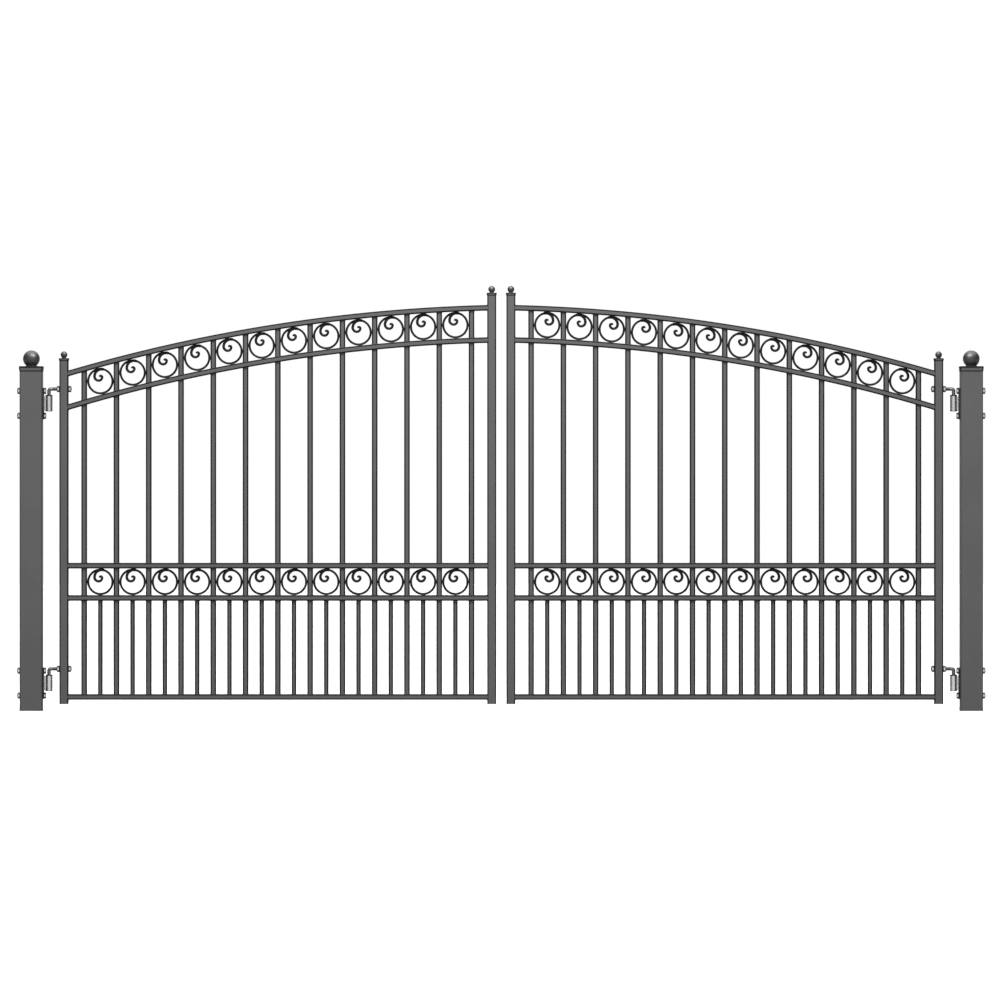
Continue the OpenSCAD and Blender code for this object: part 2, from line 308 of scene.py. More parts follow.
def rounded(width, height, radius, edge=BAR_EDGE):
    """Outline of a rectangle with round corners, and how much of an edge each of its points is, which
    sets its painted shade.
    """
    dark, fade, strength = edge
    points = []
    edges = []
    for quarter in range(4):
        turn = quarter * TURN / 4
        c, s = math.cos(turn), math.sin(turn)
        cx = (1 if quarter in (0, 3) else -1) * (width / 2 - radius)
        cy = (1 if quarter in (0, 1) else -1) * (height / 2 - radius)
        for d in (dark + fade, dark):
            points.append((cx + radius * c + d * s, cy + radius * s - d * c))
        for i in range(CORNER_STEPS + 1):
            a = turn + i / CORNER_STEPS * TURN / 4
            points.append((cx + radius * math.cos(a), cy + radius * math.sin(a)))
        for d in (dark, dark + fade):
            points.append((cx - radius * s - d * c, cy + radius * c - d * s))
        edges += [0.0] + [strength] * (CORNER_STEPS + 3) + [0.0]
    return points, edges


def flattened_round(width, depth, count=FORGED_SIDES, power=3.2):
    """Outline of a forged bar, between a rectangle and an ellipse."""
    points = []
    for i in range(count):
        a = (i + 0.5) / count * TURN
        c, s = math.cos(a), math.sin(a)
        r = (abs(c) ** power + abs(s) ** power) ** (-1 / power)
        points.append((width / 2 * r * c, depth / 2 * r * s))
    return points


# ---------------------------------------------------------------- tubes, rails and pickets

def tube(node, corner, wall, edge):
    """Upright square tube with round corners, open at both ends, in the place of a CAD node."""
    low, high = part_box(node)
    mid = middle((low, high))
    width = high.x - low.x
    outer, edges = rounded(width, width, corner, edge)
    hollow = width - 2 * wall
    inner, _ = rounded(hollow, hollow, max(corner - wall, wall), edge)
    rings = [
        [Vector((mid.x + x, y, z)) for x, y in outline]
        for outline, z in ((outer, low.z), (outer, high.z), (inner, high.z), (inner, low.z))
    ]
    shape = Shape()
    shape.loft(rings, edges, around=True)
    return shape


def rail(x0, x1, low, high, depth):
    """Rail from x0 to x1 between two edges, which are functions of x. Its slices are upright."""
    slices = max(1, round((x1 - x0) / RAIL_SLICE))
    rings = []
    for i in range(slices + 1):
        x = x0 + (x1 - x0) * i / slices
        bottom, top = low(x), high(x)
        outline, edges = rounded(depth, top - bottom, RAIL_CORNER)
        rings.append([Vector((x, y, (bottom + top) / 2 + z)) for y, z in outline])
    shape = Shape()
    shape.loft(rings, edges)
    return shape


def straight_rail(node):
    """Straight rail whose ends reach into the round corners of the stiles, where it is welded."""
    low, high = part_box(node)
    sink = STILE_CORNER - SUNK_END
    return rail(
        low.x - sink, high.x + sink, lambda x: low.z, lambda x: high.z, high.y - low.y
    )


def curved_rail(node, height):
    """Rail on the arch. Its edges share the arch's middle."""
    low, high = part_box(node)
    mid_x, mid_z, radius = arc_height(node)
    sink = STILE_CORNER - SUNK_END

    def edge(r):
        return lambda x: mid_z + math.sqrt(r ** 2 - (x - mid_x) ** 2)

    return rail(low.x - sink, high.x + sink, edge(radius - height), edge(radius), high.y - low.y)


def bars(node, corner):
    """All the upright bars of a CAD node, each a little longer than the space between its rails."""
    shape = Shape()
    for points in solids(node):
        low, high = corners(points)
        width = high.x - low.x
        mid = middle((low, high))
        outline, edges = rounded(width, high.y - low.y, corner)
        rings = []
        for end, sign in zip(slant(points), (-1, 1)):
            x0, z0, x1, z1 = end
            slope = (z1 - z0) / (x1 - x0)
            rings.append([
                Vector((mid.x + x, mid.y + y, (z0 + z1) / 2 + slope * x + sign * SUNK_END))
                for x, y in outline
            ])
        shape.loft(rings, edges)
    return shape


# ---------------------------------------------------------------- welds

def fillet(shape, start, end, out, up, leg=WELD_LEG):
    """Uneven weld bead from start to end, in the corner between a face along out and one along up."""
    count = max(2, round((end - start).length / WELD_SEGMENT))
    rings = []
    for i in range(count + 1):
        at = start.lerp(end, i / count)
        swell = 1 + WELD_SWELL * noise.noise(at * WELD_NOISE)
        swell *= WELD_END if i in (0, count) else 1
        size = leg * swell
        ring = [at - (out + up) * SUNK_END]
        for step in range(WELD_STEPS + 1):
            a = step / WELD_STEPS * TURN / 4
            c, s = math.cos(a), math.sin(a)
            bulge = (1 + 1 / (c + s)) / 2
            ring.append(at + (out * c + up * s) * size * bulge)
        rings.append(ring)
    shape.loft(rings)


def picket_welds(shape, node):
    """A bead along each of the four faces of every bar, at both of its ends."""
    for points in solids(node):
        low, high = corners(points)
        for end, up in zip(slant(points), (Vector((0, 0, 1)), Vector((0, 0, -1)))):
            x0, z0, x1, z1 = end
            along = Vector((x1 - x0, 0, z1 - z0)).normalized()
            inset = PICKET_CORNER * WELD_INSET
            for x, z, out in ((x0, z0, -along), (x1, z1, along)):
                a = Vector((x, low.y + inset, z))
                b = Vector((x, high.y - inset, z))
                fillet(shape, a, b, out, up)
            for y, out in ((low.y, Vector((0, -1, 0))), (high.y, Vector((0, 1, 0)))):
                a = Vector((x0, y, z0)) + along * inset
                b = Vector((x1, y, z1)) - along * inset
                fillet(shape, a, b, out, up, WELD_LEG * WELD_FRONT)


def rail_end_welds(shape, node):
    """Beads over and under both ends of a rail, against the stiles."""
    points = [v.co for v in frame["nodes"][node].data.vertices]
    low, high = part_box(node)
    near = (high.x - low.x) / 40
    for x, inward in ((low.x, 1), (high.x, -1)):
        at_face = [p.z for p in points if abs(p.x - x) < MM / 10]
        next_x = min((p.x for p in points if MM < abs(p.x - x)), key=lambda v: abs(v - x))
        at_next = [p.z for p in points if abs(p.x - next_x) < MM / 10]
        for pick, up in ((max, 1), (min, -1)):
            z = pick(at_face)
            rise = pick(at_next) - z
            run = abs(next_x - x)
            out = Vector((inward * run, 0, rise if run < near * 2 else 0)).normalized()
            a = Vector((x, low.y + RAIL_CORNER, z))
            b = Vector((x, high.y - RAIL_CORNER, z))
            fillet(shape, a, b, out, Vector((0, 0, up)))


def tack(shape, at, along, out):
    """Small round tack weld at a point, long along one direction and flat along another."""
    side = along.cross(out).normalized()
    long, wide, tall = TACK_SIZE
    rings = []
    for i in range(1, TACK_SLICES):
        a = i / TACK_SLICES * TURN / 2
        swell = 1 + TACK_SWELL * noise.noise(at * TACK_NOISE + Vector((i, 0, 0)))
        rings.append([
            at + along * long * math.cos(a)
            + (side * wide * math.cos(b) + out * tall * math.sin(b)) * math.sin(a) * swell
            for b in [j / TACK_SIDES * TURN for j in range(TACK_SIDES)]
        ])
    shape.loft(rings)


def ring_tacks(shape, node, arch_middle=None):
    """Four tacks that hold each ring to the rails over and under it and to its two pickets."""
    for points in solids(node):
        box = corners(points)
        mid = middle(box)
        radius = (box[1].x - box[0].x) / 2
        up = Vector((0, 0, 1))
        if arch_middle:
            up = (mid - Vector((arch_middle[0], mid.y, arch_middle[1]))).normalized()
        across = Vector((1, 0, 0))
        for out in (up, -up, across, -across):
            along = Vector((out.z, 0, -out.x))
            for y in (-RING_DEPTH / 2, RING_DEPTH / 2):
                tack(shape, mid + out * radius + Vector((0, y, 0)), along, Vector((0, 1, 0)))


# ---------------------------------------------------------------- scroll rings

def forged_ring(shape, mid, radius, side):
    """Hoop with the scroll that leaves its top. The left half's rings are mirror images."""
    hand = 1 if side == "left" else -1
    line = radius - RING_BAR / 2

    def place(x, z, y):
        p = Vector((mid.x + hand * x, mid.y + y, mid.z + z))
        return p + noise.noise_vector(p * HAMMER_SCALE) * HAMMER_DEPTH

    outline = flattened_round(RING_BAR, RING_DEPTH)
    rings = []
    for i in range(RING_STEPS):
        a = i / RING_STEPS * TURN
        rings.append([
            place((line + u) * math.cos(a), (line + u) * math.sin(a), v) for u, v in outline
        ])
    shape.loft(rings if hand < 0 else rings[::-1], around=True)

    stations = scroll_line(line)
    length = len(stations) - 1
    rings = []
    for i, (x, z, a) in enumerate(stations):
        width = scroll_width(i / length)
        depth = RING_DEPTH * min(1, 0.55 + width / SCROLL_ROOT / 2)
        rings.append([
            place(x + u * math.cos(a), z + u * math.sin(a), v)
            for u, v in flattened_round(width, depth)
        ])
    shape.loft(rings if hand < 0 else rings[::-1])


def scroll_line(line):
    """Points of the scroll about the ring's middle, each with the angle of its outward side."""
    stations = []
    start = 90 - SCROLL_BRANCH
    mid_x = mid_z = 0.0
    before = line
    for radius, turn in zip(SCROLL_RADII, SCROLL_TURNS):
        a = math.radians(start)
        mid_x += (before - radius) * math.cos(a)
        mid_z += (before - radius) * math.sin(a)
        count = max(3, round(turn / SCROLL_STEP))
        for i in range(1 if stations else 0, count + 1):
            b = math.radians(start + turn * i / count)
            stations.append((mid_x + radius * math.cos(b), mid_z + radius * math.sin(b), b))
        before = radius
        start += turn
    return stations


def scroll_width(t):
    """Width of the scroll's bar at a share t of its stations: a taper, a swell and a drawn out tip."""
    taper = SCROLL_ROOT + (SCROLL_END - SCROLL_ROOT) * min(1, t / SCROLL_SWELL)
    end = max(0, (t - SCROLL_SWELL) / (1 - SCROLL_SWELL))
    swell = (SCROLL_TIP - SCROLL_END) * math.sin(min(1, 2 * end) * TURN / 4)
    return (taper + swell) * (1 - (1 - SCROLL_POINT) * max(0, 2 * end - 1) ** 2)


def rings_of(side, node):
    """All the forged rings of a CAD node, each in its solid's place."""
    shape = Shape()
    for points in solids(node):
        box = corners(points)
        forged_ring(shape, middle(box), (box[1].x - box[0].x) / 2, side)
    return shape


# ---------------------------------------------------------------- caps and balls

def pressed_cap(shape, box, corner):
    """Pressed cap: a skirt that flares a little, a bent upper edge and a low raised top. Its lip, its
    upper part with the bend and its upright corners carry painted shade.
    """
    low, high = box
    mid = middle(box)
    wide = high.x - low.x
    narrow = wide - 2 * CAP_SHEET
    line = (high.z - low.z) * CAP_LINE
    levels = [
        (narrow - 2 * CAP_SHEET, high.z - 2 * CAP_SHEET, corner, 1),
        (narrow - 2 * CAP_SHEET, low.z, corner, 1),
        (narrow - 0.4 * CAP_SHEET, low.z, corner, 1),
        (narrow, low.z + 0.6 * CAP_SHEET, corner, 1),
        (narrow, low.z + CAP_LIP, corner, 1),
        (narrow - CAP_SHEET / 2, low.z + CAP_LIP + CAP_SHEET / 3, corner, 1),
        (narrow - CAP_SHEET / 3, low.z + CAP_LIP + CAP_SHEET, corner, 0),
        (wide - CAP_SHEET / 3, high.z - line - CAP_FADE, corner + CAP_SHEET, 0),
        (wide - CAP_SHEET / 4, high.z - line, corner + CAP_SHEET, 1),
    ]
    for step in range(CAP_STEPS + 1):
        a = step / CAP_STEPS * TURN / 4
        levels.append((
            wide - 2 * CAP_BEND * (1 - math.cos(a)),
            high.z - CAP_SHEET - CAP_BEND * (1 - math.sin(a)),
            corner + CAP_SHEET,
            1,
        ))
    for share in CAP_TOP:
        levels.append((wide * share, high.z - CAP_SHEET * share, corner * share, 0))
    rings = []
    rows = []
    for width, z, radius, edge in levels:
        outline, edges = rounded(width, width, radius)
        rings.append([Vector((mid.x + x, y, z)) for x, y in outline])
        # Edge values of 1 here are painted shade
        rows.append([max(edge, e) for e in edges])
    shape.loft(rings, rows)


def lathe(shape, x, y, profile, around=False):
    """Turns a profile of (radius, z, edge) about an upright axis."""
    rings = []
    for r, z, _ in profile:
        rings.append([
            Vector((x + r * math.cos(a), y + r * math.sin(a), z))
            for a in [i / LATHE_STEPS * TURN for i in range(LATHE_STEPS)]
        ])
    shape.loft(rings, [[edge] * LATHE_STEPS for _, _, edge in profile], around)


def ball(shape, box):
    """Smooth pressed ball on a neck that spreads to its seat."""
    low, high = box
    mid = middle(box)
    radius = (high.x - low.x) / 2
    mid_z = high.z - radius
    neck = radius * BALL_NECK
    seat = radius * BALL_SEAT
    profile = [
        (seat, low.z - 2 * CAP_SHEET, 1.0),
        (seat, low.z, 1.0),
        (seat * 0.94, low.z + radius * 0.03, 1.0),
        (neck, low.z + radius * 0.09, 1.0),
    ]
    first = math.asin(neck * 0.98 / radius)
    for i in range(BALL_RINGS + 1):
        a = first + (math.pi - first) * i / BALL_RINGS
        r = radius * max(math.sin(a), 0.004)
        z = mid_z - radius * math.cos(a)
        if z > profile[-1][1]:
            profile.append((r, z, 0.0))
    lathe(shape, mid.x, mid.y, profile)


# ---------------------------------------------------------------- hinge hardware

def around_x(x, at, radius, steps):
    """Ring of points about an axis along X. The radius is a function of the angle from up."""
    return [
        Vector((x, at.y + radius(a) * math.sin(a), at.z + radius(a) * math.cos(a)))
        for a in [i / steps * TURN for i in range(steps)]
    ]


def hexagon(shape, box, flats, bore=None):
    """Nut, or bolt head where there is no bore, with a flat in front, and painted shade over and under
    it and at both ends.
    """
    low, high = box
    at = middle(box)
    face = flats / 2 * HEX_FACE

    def reach(a):
        turn = a % (TURN / 6) - TURN / 12
        return flats / 2 / math.cos(turn)

    def side(x, sign):
        points = around_x(x, at, reach, HEX_STEPS)
        for i, p in enumerate(points):
            p.x += sign * (reach(i / HEX_STEPS * TURN) - face) * math.tan(TURN / 12)
        return points

    inset = (high.x - low.x) * HEX_DARK
    rings = [
        around_x(low.x, at, lambda a: face, HEX_STEPS),
        side(low.x, 1),
        side(low.x + inset, 1),
        side(high.x - inset, -1),
        side(high.x, -1),
        around_x(high.x, at, lambda a: face, HEX_STEPS),
    ]
    # Painted shade: the faces over and under the flat in front darken, and so do both ends
    painted_shade = []
    for i in range(HEX_STEPS):
        share = abs(math.cos(i / HEX_STEPS * TURN))
        painted_shade.append(min(1.0, max(0.0, (share - HEX_SHADE_START) / (HEX_SHADE_FULL - HEX_SHADE_START))))
    dark = [1.0] * HEX_STEPS
    rows = [dark, dark, painted_shade, painted_shade, dark, dark]
    if bore:
        for x, r in (
            (high.x, bore + BORE_EDGE), (high.x - BORE_EDGE, bore),
            (low.x + BORE_EDGE, bore), (low.x, bore + BORE_EDGE),
        ):
            rings.append(around_x(x, at, lambda a, r=r: r, HEX_STEPS))
            rows.append(dark)
    shape.loft(rings[::-1], rows[::-1], bool(bore))


def thread(s, length):
    """Radius of a threaded rod at s of its length, as a function of the angle about it."""
    tip = max(0.0, s - (length - PIN_EDGE))

    def radius(a):
        wave = 0.5 + 0.5 * math.cos(TURN * s / THREAD_PITCH - a)
        return bolt_radius - THREAD_DEPTH * wave ** THREAD_SHAPE - tip

    return radius


def post_bolt(shape, box, head_box, hand):
    """Rod from inside a bolt's head to its threaded end. hand is the way along X that it points."""
    at = middle(head_box)
    end = box[1].x if hand > 0 else box[0].x
    length = abs(end - at.x)
    rings = [around_x(at.x, at, lambda a: bolt_radius, ROD_STEPS)]
    s = length - SHORT_THREAD
    while s < length:
        rings.append(around_x(at.x + hand * s, at, thread(s, length), ROD_STEPS))
        s += THREAD_PITCH / THREAD_SLICES
    rings.append(around_x(end, at, lambda a: bolt_radius - PIN_EDGE, ROD_STEPS))
    shape.loft(rings if hand < 0 else rings[::-1])


def bent_bolt(shape, box, pin_x, hand):
    """Pin, bend and threaded leg of a hinge bolt. hand is the way along X that the leg points."""
    low, high = box
    leg_z = high.z - bolt_radius
    bend = bolt_radius + MM
    start = pin_x + hand * bend
    length = abs((high.x if hand > 0 else low.x) - start)
    stations = [
        (pin_x, low.z, 0.0, lambda b: bolt_radius - PIN_EDGE),
        (pin_x, low.z + PIN_EDGE, 0.0, lambda b: bolt_radius),
    ]
    for i in range(BEND_STEPS + 1):
        a = i / BEND_STEPS * TURN / 4
        x = pin_x + hand * bend * (1 - math.cos(a))
        z = leg_z - bend * (1 - math.sin(a))
        stations.append((x, z, a, lambda b: bolt_radius))
    s = SHORT_THREAD
    while s < length:
        stations.append((start + hand * s, leg_z, TURN / 4, thread(s, length)))
        s += THREAD_PITCH / THREAD_SLICES
    angles = [i / ROD_STEPS * TURN for i in range(ROD_STEPS)]
    rings = []
    for x, z, a, size in stations:
        ring = []
        for b in angles:
            across = size(b) * math.cos(b)
            ring.append(Vector((
                x - hand * across * math.cos(a), size(b) * math.sin(b), z + across * math.sin(a)
            )))
        rings.append(ring)
    # Painted shade: the rod darkens where its surface turns away from front and back
    edges = [min(1.0, max(0.0, (abs(math.cos(b)) - ROD_SHADE_START) / (1 - ROD_SHADE_START))) for b in angles]
    shape.loft(rings if hand > 0 else rings[::-1], edges)


def barrel(shape, low_z, high_z, pin_x, outer, inner):
    """Bored barrel with turned rims; the rims and a band under the top carry painted shade."""
    edge = BARREL_EDGE
    # Where the edge value is 1 the zinc is darkened as painted shade: on the rims and down the top
    # BARREL_TOP
    profile = [
        (outer, low_z + edge, 1.0), (outer, low_z + 2 * edge, 0.0),
        (outer, high_z - BARREL_TOP - edge, 0.0), (outer, high_z - BARREL_TOP, 1.0),
        (outer, high_z - edge, 1.0),
    ]
    for z, sign in ((high_z, -1), (low_z, 1)):
        rim = [
            (outer - edge * (1 - math.cos(a)), z + sign * edge * (1 - math.sin(a)), 1.0)
            for a in [i / 4 * TURN / 4 for i in range(1, 5)]
        ]
        bore = [(inner + edge / 2, z, 1.0), (inner, z + sign * edge / 2, 1.0)]
        profile += rim + bore if sign < 0 else bore[::-1] + rim[::-1]
    lathe(shape, pin_x, 0.0, profile, around=True)


def slab(shape, low, high, corner, edge):
    """Flat plate square to X, with round corners and softened edges."""
    mid = middle((low, high))
    rings = []
    for x, inset in (
        (low.x, edge), (low.x + edge / 3, edge / 3), (low.x + edge, 0.0),
        (high.x - edge, 0.0), (high.x - edge / 3, edge / 3), (high.x, edge),
    ):
        outline, _ = rounded(high.y - low.y - 2 * inset, high.z - low.z - 2 * inset, corner - inset)
        rings.append([Vector((x, mid.y + y, mid.z + z)) for y, z in outline])
    shape.loft(rings)


# ---------------------------------------------------------------- materials

def new_material(name, **values):
    """Material whose shader has these values on its own sockets."""
    material = bpy.data.materials.new(name)
    material["slot"] = name
    material.use_nodes = True
    shader = material.node_tree.nodes["Principled BSDF"]
    for socket, value in values.items():
        shader.inputs[socket.replace("_", " ")].default_value = value
    return material, material.node_tree, shader


def grain(tree, scale, detail=2.0, roughness=0.5):
    """Noise in the object's own metres."""
    place = tree.nodes.new("ShaderNodeTexCoord")
    texture = tree.nodes.new("ShaderNodeTexNoise")
    texture.inputs["Scale"].default_value = scale
    texture.inputs["Detail"].default_value = detail
    texture.inputs["Roughness"].default_value = roughness
    tree.links.new(place.outputs["Object"], texture.inputs["Vector"])
    return texture.outputs["Fac"]


def dimples(tree, scale, smoothness=0.6):
    """Smooth cells in the object's own metres."""
    place = tree.nodes.new("ShaderNodeTexCoord")
    texture = tree.nodes.new("ShaderNodeTexVoronoi")
    texture.feature = "SMOOTH_F1"
    texture.inputs["Scale"].default_value = scale
    texture.inputs["Smoothness"].default_value = smoothness
    tree.links.new(place.outputs["Object"], texture.inputs["Vector"])
    return texture.outputs["Distance"]


def spread(tree, value, low, high):
    """Maps the middle of a noise onto a range."""
    node = tree.nodes.new("ShaderNodeMapRange")
    node.inputs["From Min"].default_value = 0.3
    node.inputs["From Max"].default_value = 0.7
    node.inputs["To Min"].default_value = low
    node.inputs["To Max"].default_value = high
    tree.links.new(value, node.inputs["Value"])
    return node.outputs["Result"]


def shades(tree, value, dark, light):
    """Colour between two shades."""
    node = tree.nodes.new("ShaderNodeMix")
    node.data_type = "RGBA"
    node.inputs["A"].default_value = (*dark, 1)
    node.inputs["B"].default_value = (*light, 1)
    tree.links.new(value, node.inputs["Factor"])
    return node.outputs["Result"]


BALL_DARK = (0.016, 0.016, 0.016)
BALL_LIGHT = (0.026, 0.026, 0.026)
# Colours of the painted shade along edges, on the coats and on the zinc
COAT_EDGE_SHADE = (0.003, 0.003, 0.003)
STEEL_EDGE_SHADE = (0.02, 0.02, 0.02)


def painted_edge_shade(tree, tone, dark):
    """The same tone, but darkened with painted shade where the piece has an edge."""
    place = tree.nodes.new("ShaderNodeAttribute")
    place.attribute_name = "edge"
    node = tree.nodes.new("ShaderNodeMix")
    node.data_type = "RGBA"
    node.inputs["B"].default_value = (*dark, 1)
    tree.links.new(place.outputs["Fac"], node.inputs["Factor"])
    tree.links.new(tone, node.inputs["A"])
    return node.outputs["Result"]


def relief(tree, shader, layers):
    """Stacks bumps, each (height, strength, depth)."""
    normal = None
    for height, strength, depth in layers:
        bump = tree.nodes.new("ShaderNodeBump")
        bump.inputs["Strength"].default_value = strength
        bump.inputs["Distance"].default_value = depth
        tree.links.new(height, bump.inputs["Height"])
        if normal:
            tree.links.new(normal, bump.inputs["Normal"])
        normal = bump.outputs["Normal"]
    tree.links.new(normal, shader.inputs["Normal"])


def powder_coat(name, dark, light, rough_low, rough_high):
    """Satin powder coat: a fine orange peel, slightly uneven in tone and gloss, with painted shade
    along its edges.
    """
    material, tree, shader = new_material(name, Specular_IOR_Level=0.12)
    tone = shades(tree, spread(tree, grain(tree, 5, 4), 0, 1), dark, light)
    tree.links.new(painted_edge_shade(tree, tone, COAT_EDGE_SHADE), shader.inputs["Base Color"])
    gloss = spread(tree, grain(tree, 24, 3), rough_low, rough_high)
    tree.links.new(gloss, shader.inputs["Roughness"])
    relief(tree, shader, [
        (grain(tree, 330, 2), 0.35, 0.00025),
        (grain(tree, 1600, 1), 0.2, 0.00008),
    ])
    return material


def forged_coat(name, dark, light):
    """Black coat on hammered bar."""
    material, tree, shader = new_material(name, Specular_IOR_Level=0.2)
    tone = shades(tree, spread(tree, grain(tree, 30, 4), 0, 1), dark, light)
    tree.links.new(tone, shader.inputs["Base Color"])
    gloss = spread(tree, grain(tree, 80, 3), 0.32, 0.5)
    tree.links.new(gloss, shader.inputs["Roughness"])
    relief(tree, shader, [
        (dimples(tree, 150), 0.5, 0.0008),
        (grain(tree, 900, 2), 0.25, 0.0001),
    ])
    return material


def ball_coat(name):
    """Semi-gloss coat on pressed balls, with a faint orange peel."""
    material, tree, shader = new_material(
        name, Specular_IOR_Level=0.7, Coat_Weight=0.25, Coat_Roughness=0.22
    )
    tone = shades(tree, spread(tree, grain(tree, 40, 4), 0, 1), BALL_DARK, BALL_LIGHT)
    tree.links.new(tone, shader.inputs["Base Color"])
    gloss = spread(tree, grain(tree, 60, 3), 0.38, 0.46)
    tree.links.new(gloss, shader.inputs["Roughness"])
    relief(tree, shader, [(grain(tree, 420, 2), 0.2, 0.00008)])
    return material


def zinc(name, dark, light, rough_low, rough_high):
    """Zinc plate on steel: fine crystals and faint tool marks, with painted shade along its edges."""
    material, tree, shader = new_material(name, Metallic=1.0)
    tone = shades(tree, spread(tree, dimples(tree, 420, 0.2), 0, 1), dark, light)
    tree.links.new(painted_edge_shade(tree, tone, STEEL_EDGE_SHADE), shader.inputs["Base Color"])
    gloss = spread(tree, grain(tree, 260, 4), rough_low, rough_high)
    tree.links.new(gloss, shader.inputs["Roughness"])
    relief(tree, shader, [(grain(tree, 1300, 3), 0.25, 0.00006)])
    return material


COAT = powder_coat("frame_coat", (0.08, 0.08, 0.08), (0.088, 0.088, 0.088), 0.42, 0.56)
PLATE = powder_coat("plate_coat", (0.012, 0.012, 0.012), (0.02, 0.02, 0.02), 0.4, 0.55)
FORGED = forged_coat("ring_coat", (0.004, 0.004, 0.004), (0.01, 0.01, 0.01))
BALL = ball_coat("ball_coat")
ZINC = zinc("hinge_zinc", (0.74, 0.74, 0.75), (0.88, 0.88, 0.89), 0.22, 0.32)
STEEL = zinc("hinge_steel", (0.15, 0.15, 0.155), (0.22, 0.22, 0.225), 0.44, 0.54)


# ---------------------------------------------------------------- the two halves

def build_post(side):
    """Post with its cap and ball."""
    name = f"{side}_post"
    make(tube(name, POST_CORNER, POST_WALL, POST_EDGE), f"{name}_tube", "posts", COAT, [name])
    cap = Shape()
    pressed_cap(cap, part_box(f"{name}_cap"), POST_CORNER)
    make(cap, f"{name}_pressed_cap", "posts", COAT, [f"{name}_cap"])
    top = Shape()
    ball(top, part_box(f"{name}_ball"))
    make(top, f"{name}_pressed_ball", "posts", BALL, [f"{name}_ball"])


def build_stiles(side, body):
    """Hinge stile and lock stile with their caps and balls."""
    for node in (f"{side}_hinge_stile", f"{side}_lock_stile"):
        make(tube(node, STILE_CORNER, STILE_WALL, STILE_EDGE), f"{node}_tube", body, COAT, [node])
    caps = Shape()
    for points in solids(f"{side}_stile_caps"):
        pressed_cap(caps, corners(points), STILE_CORNER)
    make(caps, f"{side}_stile_pressed_caps", body, COAT, [f"{side}_stile_caps"])
    balls = Shape()
    for points in solids(f"{side}_stile_balls"):
        ball(balls, corners(points))
    make(balls, f"{side}_stile_pressed_balls", body, BALL, [f"{side}_stile_balls"])


def build_rails(side, body):
    """Five rails, welded between the stiles."""
    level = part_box(f"{side}_bottom_rail")
    height = level[1].z - level[0].z
    welds = Shape()
    for node in ("bottom_rail", "mid_rail_lower", "mid_rail_upper", "arched_rail", "top_rail"):
        name = f"{side}_{node}"
        curved = node in ("arched_rail", "top_rail")
        shape = curved_rail(name, height) if curved else straight_rail(name)
        make(shape, f"{name}_tube", body, COAT, [name])
        rail_end_welds(welds, name)
    make(welds, f"{side}_rail_welds", body, COAT)


def build_pickets(side, body):
    """Pickets and short pickets with the beads at their ends."""
    for name in (f"{side}_pickets", f"{side}_short_pickets"):
        make(bars(name, PICKET_CORNER), f"{name}_tubes", body, COAT, [name])
        welds = Shape()
        picket_welds(welds, name)
        make(welds, f"{name}_welds", body, COAT)


def build_rings(side, body):
    """Scroll rings of both bands with their tacks."""
    mid_x, mid_z, _ = arc_height(f"{side}_top_rail")
    for name, arch_middle in ((f"{side}_arch_rings", (mid_x, mid_z)), (f"{side}_band_rings", None)):
        make(rings_of(side, name), f"{name}_forged", body, FORGED, [name], 50)
        tacks = Shape()
        ring_tacks(tacks, name, arch_middle)
        make(tacks, f"{name}_tacks", body, FORGED)


def build_hinges(side, body):
    """Plates and barrels of both hinges of one side, and all their bolts."""
    to_gate = 1 if side == "left" else -1
    plates = Shape()
    barrels = Shape()
    pin_x = next(j["pos_m"][0] for j in frame["joints"] if j["child"] == body)
    for plate_points, barrel_points in zip(
        solids(f"{side}_hinge_plates"), solids(f"{side}_hinge_barrels")
    ):
        low, high = corners(plate_points)
        slab(plates, low, high, PLATE_CORNER, PLATE_EDGE)
        face_x = high.x if to_gate > 0 else low.x
        b_low, b_high = corners(barrel_points)
        radius = (b_high.y - b_low.y) / 2
        barrel(barrels, b_low.z, b_high.z, pin_x, radius, bolt_radius + PIN_ROOM)
        hinge_web(barrels, face_x, pin_x - to_gate * radius, b_low.z, b_high.z, to_gate)
    make(plates, f"{side}_hinge_plates_cut", "posts", PLATE, [f"{side}_hinge_plates"])
    make(barrels, f"{side}_hinge_barrels_turned", "posts", ZINC, [f"{side}_hinge_barrels"])
    build_bolts(side, body, pin_x, to_gate)


def hinge_web(shape, face_x, barrel_x, low_z, high_z, to_gate):
    """Web between plate and barrel, with the weld beads on the plate."""
    half = WEB_THICK / 2
    bottom, top = low_z + WEB_SHORT, high_z - WEB_SHORT
    x0, x1 = sorted((face_x, barrel_x + to_gate * WEB_INTO))
    slab(shape, Vector((x0, -half, bottom)), Vector((x1, half, top)), PLATE_EDGE, PLATE_EDGE / 3)
    for y in (-half, half):
        a = Vector((face_x, y, bottom + MM))
        b = Vector((face_x, y, top - MM))
        fillet(shape, a, b, Vector((to_gate, 0, 0)), Vector((0, math.copysign(1, y), 0)))


